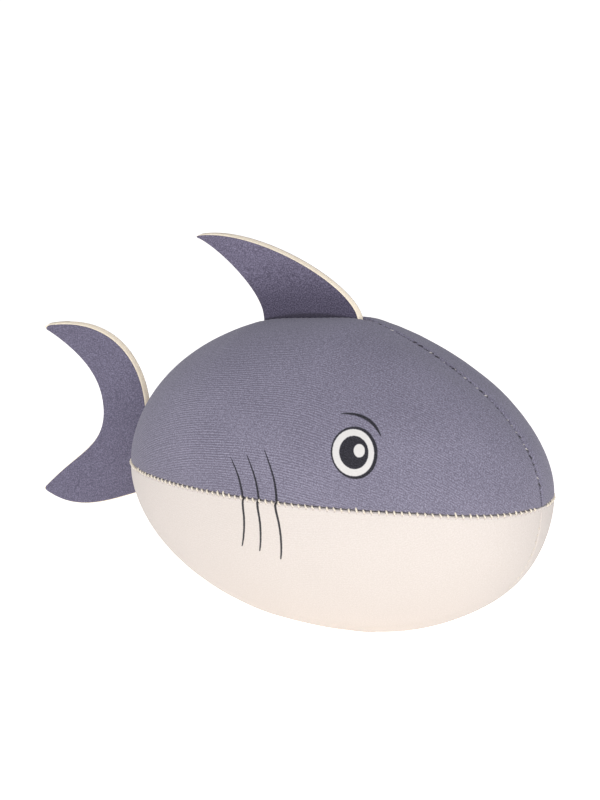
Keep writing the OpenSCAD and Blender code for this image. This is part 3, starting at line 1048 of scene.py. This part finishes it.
def print_group():
    """Where the dark and the white ink are, from a place in the object."""
    group, given, out = new_group("printed_face", [("Place", "Vector")],
                                  [("Dark", "Float"), ("White", "Float")])
    times, plus, minus, times_plus = maths(group)
    place = scaled(group, given.outputs["Place"], (1000, 1000, 1000), (0, 0, -REST_HEIGHT * MM))
    wobble = times(minus(noise(group, place, 2.2, 2.0), 0.5), INK_WOBBLE)
    x, _, z = split(group, place)

    def inked(inside):
        """1 where a distance inside a shape is positive, with the ink's soft edge."""
        return times_plus(plus(inside, wobble), 1 / INK_BLEED, 0.5, clamp=True)

    def ellipse(centre, radii, tilt):
        """A filled ellipse, tilted by some degrees."""
        c, s = math.cos(math.radians(tilt)), math.sin(math.radians(tilt))
        dx, dz = minus(x, centre[0]), minus(z, centre[1])
        u = plus(times(dx, c / radii[0]), times(dz, s / radii[0]))
        v = minus(times(dz, c / radii[1]), times(dx, s / radii[1]))
        return inked(times(minus(1.0, distance(group, u, v)), min(radii)))

    def brow(centre, radius, middle, spread, half_width):
        """Part of a ring, thinner towards its ends."""
        dx, dz = minus(x, centre[0]), minus(z, centre[1])
        turn = minus(sums(group, "ARCTAN2", dz, dx), math.radians(middle))
        t = sums(group, "DIVIDE", turn, math.radians(spread))
        taper = sums(group, "SQRT", sums(group, "MAXIMUM", minus(1.0, times(t, t)), 0.0))
        reach = minus(times(taper, half_width + BROW_END), BROW_END)
        away = sums(group, "ABSOLUTE", minus(distance(group, dx, dz), radius))
        return inked(minus(reach, away))

    def gill(bow_x, bow_z, curl, end, taper):
        """A parabola from the side seam to its end, above the seam or under it."""
        dz = minus(z, bow_z)
        line = minus(bow_x, times(times(dz, dz), curl))
        if end < 0:
            hook = sums(group, "EXPONENT", times(z, 1 / GILL_HOOK_DEPTH))
            line = times_plus(hook, GILL_HOOK, line)
        away = sums(group, "ABSOLUTE", minus(x, line))
        left = times_plus(z, -1 / end, 1.0, clamp=True)
        own_half = sums(group, "GREATER_THAN", times(z, 1 / end), 0.0)
        wide = times(sums(group, "POWER", left, taper), own_half)
        return inked(minus(times_plus(wide, GILL_HALF_WIDTH + GILL_END, -GILL_END), away))

    outline, white, pupil, light = [ellipse(**ring) for ring in EYE_RINGS.values()]
    pale = sums(group, "MAXIMUM", minus(white, pupil, clamp=True), light)
    dark = sums(group, "MAXIMUM", outline, brow(**BROW))
    for facts in GILLS:
        dark = sums(group, "MAXIMUM", dark, gill(*facts))
    join(group, minus(dark, pale, clamp=True), out.inputs["Dark"])
    join(group, pale, out.inputs["White"])
    return group


printed_face = print_group()
print("printed shapes:", len(EYE_RINGS) + 1 + len(GILLS))

# %% [markdown]
# ## Fabric materials
#
# The slate jersey is matt polyester with a faint soft sheen, and the cream one is the same
# cloth undyed. Both take their ribs from the jersey group and the panels take their face from
# the print group. On the panels the ribs follow the flat cut's UV map, and the cream has a
# small dot of painted shade for the needle's hole beside each side stitch. On the fins the ribs
# follow the fin's own plane. The dorsal fin's jersey is darker: its colours are a darker copy of
# the tail's as painted shade, with more painted shade in the crease at its seam and painted light
# towards its tip.

# %% Jersey material
TONE_CONTRAST, TONE_SHIFT = 3.4, -1.09
BLOTCH_SCALE, BLOTCH, BLOTCH_SHIFT = 45.0, 0.3, -0.13
INK, INK_RIB, INK_COVER = linear(24, 24, 29), linear(54, 52, 60), 0.97
INK_WHITE, WHITE_COVER = linear(217, 214, 210), 0.95
# Painted shade in the dorsal fin's crease at its seam, then painted light towards its tip.
CREASE_SHADE_COLOUR, CREASE_SHADE_REACH, CREASE_SHADE_SHIFT, CREASE_SHADE_COVER = linear(40, 37, 47), 0.9, 1.3, 0.65
LIT_TIP_DARK, LIT_TIP_LIGHT = linear(100, 94, 114), linear(150, 144, 168)
LIT_TIP_FADE_OVER, LIT_TIP_SHIFT, LIT_TIP_COVER = 16, -0.4, 0.6
# Painted shade in the needle's holes beside the side stitches.
HOLE_SHADE, HOLE_SHADE_COVER = linear(120, 100, 84), 0.28
HOLE_SEAM_DISTANCE, HOLE_RADIUS, HOLE_SHIFT = 1.05, 0.24, 1.5


def surface_place(tree, uv_map):
    """The flat position of a point on its piece, from a UV map or from the fin's plane."""
    if uv_map:
        return map_place(tree, uv_map)
    x, y, z = split(tree, object_place(tree))
    return add_node(tree, "ShaderNodeCombineXYZ", X=x, Y=z, Z=y).outputs[0]


def needle_hole_shade(tree, colour):
    """Paints shade into the cloth at the small hole where the needle pulled each stitch through it."""
    times, _, minus, times_plus = maths(tree)
    x, y, _ = split(tree, scaled(tree, map_place(tree, "edge"), (1000, 1000, 1)))
    along = sums(tree, "FRACT", times_plus(x, 1 / STITCH_PITCH, 0.5))
    dx, dy = times(minus(along, 0.5), STITCH_PITCH), minus(y, HOLE_SEAM_DISTANCE)
    hole_shade_mask = times_plus(distance(tree, dx, dy), -1 / HOLE_RADIUS, HOLE_SHIFT, clamp=True)
    return mixed(tree, times(hole_shade_mask, HOLE_SHADE_COVER), colour, HOLE_SHADE)


def painted_crease_shade_and_tip_light(tree, colour, tone):
    """Paints shade into a fin's crease where it leaves the body, and paints light on it towards its tip.
    """
    times, _, _, times_plus = maths(tree)
    rise = times(split(tree, map_place(tree, "rise"))[0], 1000.0)
    crease_shade = times_plus(rise, -1 / CREASE_SHADE_REACH, CREASE_SHADE_SHIFT, clamp=True)
    tip_light_share = times_plus(rise, 1 / LIT_TIP_FADE_OVER, LIT_TIP_SHIFT, clamp=True)
    lit_tip_colour = mixed(tree, tone, LIT_TIP_DARK, LIT_TIP_LIGHT)
    colour = mixed(tree, times(tip_light_share, LIT_TIP_COVER), colour, lit_tip_colour)
    return mixed(tree, times(crease_shade, CREASE_SHADE_COVER), colour, CREASE_SHADE_COLOUR)


def jersey_material(name, dark, light, ribs, flecks, bump, uv_map=None, printed=False, hole_shade=False,
                    crease_shade=False):
    """Knitted cloth between two colours, with its ribs, print, painted shade in the needle holes, and
    painted shade in the crease with painted light to the tip.
    """
    material, tree, shader = simple_material(name, 0.82, 0.12)
    shader.inputs["Sheen Roughness"].default_value = 0.5
    times, plus, _, times_plus = maths(tree)
    where = object_place(tree)
    knit = tree.nodes.new("ShaderNodeGroup")
    knit.node_tree = ribbed_jersey
    join(tree, surface_place(tree, uv_map), knit.inputs["Cut"])
    join(tree, ribs, knit.inputs["Rib Strength"])
    join(tree, flecks, knit.inputs["Flecks"])
    blotch = times_plus(noise(tree, where, BLOTCH_SCALE, 2.0), BLOTCH, BLOTCH_SHIFT)
    tone = plus(times_plus(knit.outputs["Tone"], TONE_CONTRAST, TONE_SHIFT), blotch, clamp=True)
    colour = mixed(tree, tone, dark, light)
    if printed:
        face = tree.nodes.new("ShaderNodeGroup")
        face.node_tree = printed_face
        join(tree, where, face.inputs["Place"])
        ink = mixed(tree, tone, INK, INK_RIB)
        colour = mixed(tree, times(face.outputs["Dark"], INK_COVER), colour, ink)
        colour = mixed(tree, times(face.outputs["White"], WHITE_COVER), colour, INK_WHITE)
    # Painted shade in the needle's holes.
    if hole_shade:
        colour = needle_hole_shade(tree, colour)
    # Painted shade in the crease at the seam and painted light towards the tip.
    if crease_shade:
        colour = painted_crease_shade_and_tip_light(tree, colour, tone)
    join(tree, colour, shader.inputs["Base Color"])
    relief(tree, shader, knit.outputs["Height"], bump, 0.0004)
    return material


slate = jersey_material("slate_jersey", linear(102, 98, 114), linear(158, 154, 172),
                        ribs=0.9, flecks=0.3, bump=0.4, uv_map="cut", printed=True)
cream = jersey_material("cream_jersey", linear(209, 200, 192), linear(220, 212, 206),
                        ribs=0.5, flecks=0.2, bump=0.12, uv_map="cut", printed=True, hole_shade=True)
fin_slate = {
    # The dorsal copy is darker than the tail's as painted shade, with painted crease shade and tip light.
    "dorsal_fin": jersey_material("slate_jersey_dorsal_shaded", linear(62, 57, 75), linear(104, 98, 119),
                                  ribs=0.15, flecks=0.1, bump=0.35, crease_shade=True),
    "tail_fin": jersey_material("slate_jersey_tail", linear(88, 84, 102), linear(129, 124, 146),
                                ribs=0.15, flecks=0.1, bump=0.35),
}
print("jersey materials:", slate.name, cream.name, [m.name for m in fin_slate.values()])

# %% [markdown]
# ## Foam, thread and fibre
#
# The fins' cut edge is sponge: a warm cream full of tiny open cells, with painted shade in the
# hollows of the cut ones. A faint glow on it is painted light, standing in for light that goes
# through the edge of pale foam. Thread is twisted from plies, which shows as a slanting stripe,
# the dark thread has pale specks painted in as glints, and fibre is white and soft.

# %% Foam, thread and fibre materials
PIT_SHADE_CONTRAST, PIT_SHADE_SHIFT, PIT_SHADE_COVER = -2.4, 1.1, 0.25
GLINT_SCALE, GLINT_CONTRAST, GLINT_SHIFT = 300.0, 9.0, -4.7


def foam_material():
    """Cut sponge with open cells, with painted shade in their hollows and a faint painted glow."""
    material, tree, shader = simple_material("cut_foam", 0.9)
    # A faint glow painted on the foam stands in for light passing through its edge.
    shader.inputs["Emission Color"].default_value = linear(255, 234, 200)
    shader.inputs["Emission Strength"].default_value = 0.12
    where = object_place(tree)
    cells = add_node(tree, "ShaderNodeTexVoronoi", Vector=where, Scale=2600.0).outputs["Distance"]
    # Painted shade in the hollows of the cut cells.
    pit_shade = sums(tree, "MULTIPLY_ADD", cells, PIT_SHADE_CONTRAST, PIT_SHADE_SHIFT, clamp=True)
    shade = noise(tree, where, 260.0, 3.0)
    colour = mixed(tree, shade, linear(236, 222, 198), linear(252, 242, 224))
    colour = mixed(tree, sums(tree, "MULTIPLY", pit_shade, PIT_SHADE_COVER), colour, linear(190, 164, 134))
    join(tree, colour, shader.inputs["Base Color"])
    relief(tree, shader, cells, 0.4, 0.0003)
    return material


def thread_material(name, dark, light, sheen, glint=None):
    """Twisted thread between two colours, with pale specks painted in as glints when it has a glint
    colour.
    """
    material, tree, shader = simple_material(name, 0.6, sheen)
    where = object_place(tree)
    ply = add_node(tree, "ShaderNodeTexWave", Vector=where, Scale=900.0, Distortion=1.5)
    ply.bands_direction = "DIAGONAL"
    colour = mixed(tree, ply.outputs["Fac"], dark, light)
    if glint:
        # Painted glints: pale specks in the thread's colour.
        painted_glint = noise(tree, where, GLINT_SCALE, 1.0)
        painted_glint = sums(tree, "MULTIPLY_ADD", painted_glint, GLINT_CONTRAST, GLINT_SHIFT, clamp=True)
        colour = mixed(tree, painted_glint, colour, glint)
    join(tree, colour, shader.inputs["Base Color"])
    relief(tree, shader, ply.outputs["Fac"], 0.4, 0.0001)
    return material


def fibre_material():
    """White packed fibre."""
    material, tree, shader = simple_material("packed_fibre", 0.95, 0.3)
    tuft = noise(tree, object_place(tree), 420.0, 6.0, 0.7)
    colour = mixed(tree, tuft, linear(214, 212, 206), linear(248, 248, 244))
    join(tree, colour, shader.inputs["Base Color"])
    relief(tree, shader, tuft, 0.6, 0.001)
    return material


foam = foam_material()
pale_thread = thread_material("pale_thread", linear(214, 200, 178), linear(246, 238, 222), 0.2)
dark_thread = thread_material("dark_thread", linear(32, 30, 37), linear(70, 66, 77), 0.3,
                              glint=linear(214, 208, 204))
fibre = fibre_material()
print("materials:", len(bpy.data.materials))

# %% [markdown]
# ## Putting the pieces on their bodies
#
# Panels, filling and threads ride on the body. A fin crosses its joint: its root stays in the
# seam and its blade turns. Here the fins' sheets are only given their materials. The panels are
# sheets of cloth cut to a flat pattern, the fins' jersey is too, and the filling and the foam
# are padding.

# %% Place the panels and the filling
def paint(piece, material):
    """Gives a piece its material, in a single slot."""
    piece.data.materials.clear()
    piece.data.materials.append(material)


def gore_area(half):
    """Flat area of a panel's cut with its sewing allowance, in square metres."""
    seams = [cut_across(half, TABLE_ANGLES, np.full_like(TABLE_ANGLES, turn)) for turn in (0, math.pi / 2)]
    width = seams[1] - seams[0] + 2 * ALLOWANCE
    return float(np.trapz(width, PANEL_LENGTH)) * MM * MM


for node, piece in panels.items():
    half = PANELS[node][1]
    paint(piece, slate if half > 0 else cream)
    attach(piece, "body")
    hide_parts(node)
    area = gore_area(half)
paint(filling, fibre)
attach(filling, "body")
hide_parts("fibre_filling")


def cut_size(fin):
    """Width, length and area of a fin's flat cut with its root, in metres."""
    rows = np.linspace(0, 1, 400)
    outline, inwards = FINS[fin]["outline"], np.array(FINS[fin]["inwards"])[[0, 2]]
    body_side, other_side = outline(rows, 0 * rows), outline(rows[::-1], 0 * rows + 1)
    edge = np.concatenate([body_side, other_side])
    x, z = edge.T
    blade = abs(np.sum(x * np.roll(z, 1) - z * np.roll(x, 1))) / 2
    on_seam = edge[[FINS[fin]["on_seam"](*p) for p in edge]]
    seam_length = np.ptp(on_seam, axis=0).max()
    whole = np.concatenate([edge, on_seam + inwards])
    width, length = sorted(np.ptp(whole, axis=0) * MM)
    return width, length, (blade + seam_length * np.linalg.norm(inwards)) * MM * MM


for fin in FINS:
    for layer in ("foam", "left", "right"):
        piece = fins[fin, layer]
        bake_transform(piece)
        if layer == "foam":
            paint(piece, foam)
            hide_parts(fin + "_foam", fin + "_root")
        else:
            paint(piece, fin_slate[fin])
            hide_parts(fin + "_" + layer + "_face")
            width, length, area = cut_size(fin)
            size = [round(width * 1000), round(length * 1000)]
            print(fin, layer, "cut", size, "mm, area", round(area, 5))
for node, piece in threads.items():
    pale = "side" in node or "belly" in node
    paint(piece, pale_thread if pale else dark_thread)
    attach(piece, "body")
    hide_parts(node)
print("pieces on bodies:", len(panels) + 1 + len(fins) + len(threads))

# %% [markdown]
# ## Studio
#
# A lit white table and large soft lights: one broad light on the camera's side and a little
# above it, so that the middle of the side is brightest and the back darkens as it turns away,
# and two small ones that brighten the tail's side and the nose. The table glows a little, which
# keeps its shadow pale and warms the belly from below. The sky is slightly cool. Table and sky
# look whiter to the camera than they light the toy, or its back would be as bright as its
# sides.

# %% Floor, lights and background
FLOOR_GLOW, FLOOR_SEEN = 0.46, 0.78
SKY_LIGHT, SKY_SEEN = 0.45, 1.12
LIGHT_AIM = Vector((0, 0, 0.06))


def area_light(name, place, size, power):
    """A square light that is aimed at the toy."""
    data = bpy.data.lights.new(name, "AREA")
    data.shape, data.size, data.energy = "SQUARE", size, power
    lamp = bpy.data.objects.new(name, data)
    bpy.context.scene.collection.objects.link(lamp)
    lamp.location = place
    lamp.rotation_euler = (LIGHT_AIM - Vector(place)).to_track_quat("-Z", "Y").to_euler()


def brighter_seen(tree, light, seen):
    """A strength that is light for the toy and seen for the camera."""
    camera = tree.nodes.new("ShaderNodeLightPath").outputs["Is Camera Ray"]
    return sums(tree, "MULTIPLY_ADD", camera, seen - light, light)


def studio_floor():
    """A wide glowing table."""
    bm = bmesh.new()
    bmesh.ops.create_grid(bm, x_segments=1, y_segments=1, size=6)
    floor = finished(bm, "studio_floor")
    material, tree, shader = simple_material("white_sweep", 0.9)
    shader.inputs["Base Color"].default_value = (0.95, 0.94, 0.92, 1)
    shader.inputs["Emission Color"].default_value = (1.0, 0.965, 0.935, 1)
    join(tree, brighter_seen(tree, FLOOR_GLOW, FLOOR_SEEN), shader.inputs["Emission Strength"])
    floor.data.materials.append(material)


studio_floor()
area_light("front_softbox", (0.6, -0.95, 0.3), size=0.9, power=9.9)
area_light("left_softbox", (-0.95, -0.6, 0.06), size=0.5, power=2.8)
area_light("nose_softbox", (1.1, 0.1, 0.12), size=0.5, power=1.5)
world = bpy.data.worlds.new("white_studio")
bpy.context.scene.world = world
world.use_nodes = True
sky = world.node_tree.nodes["Background"]
sky.inputs["Color"].default_value = (0.95, 0.97, 1.05, 1)
join(world.node_tree, brighter_seen(world.node_tree, SKY_LIGHT, SKY_SEEN), sky.inputs["Strength"])
bpy.context.scene.view_settings.view_transform = "Standard"
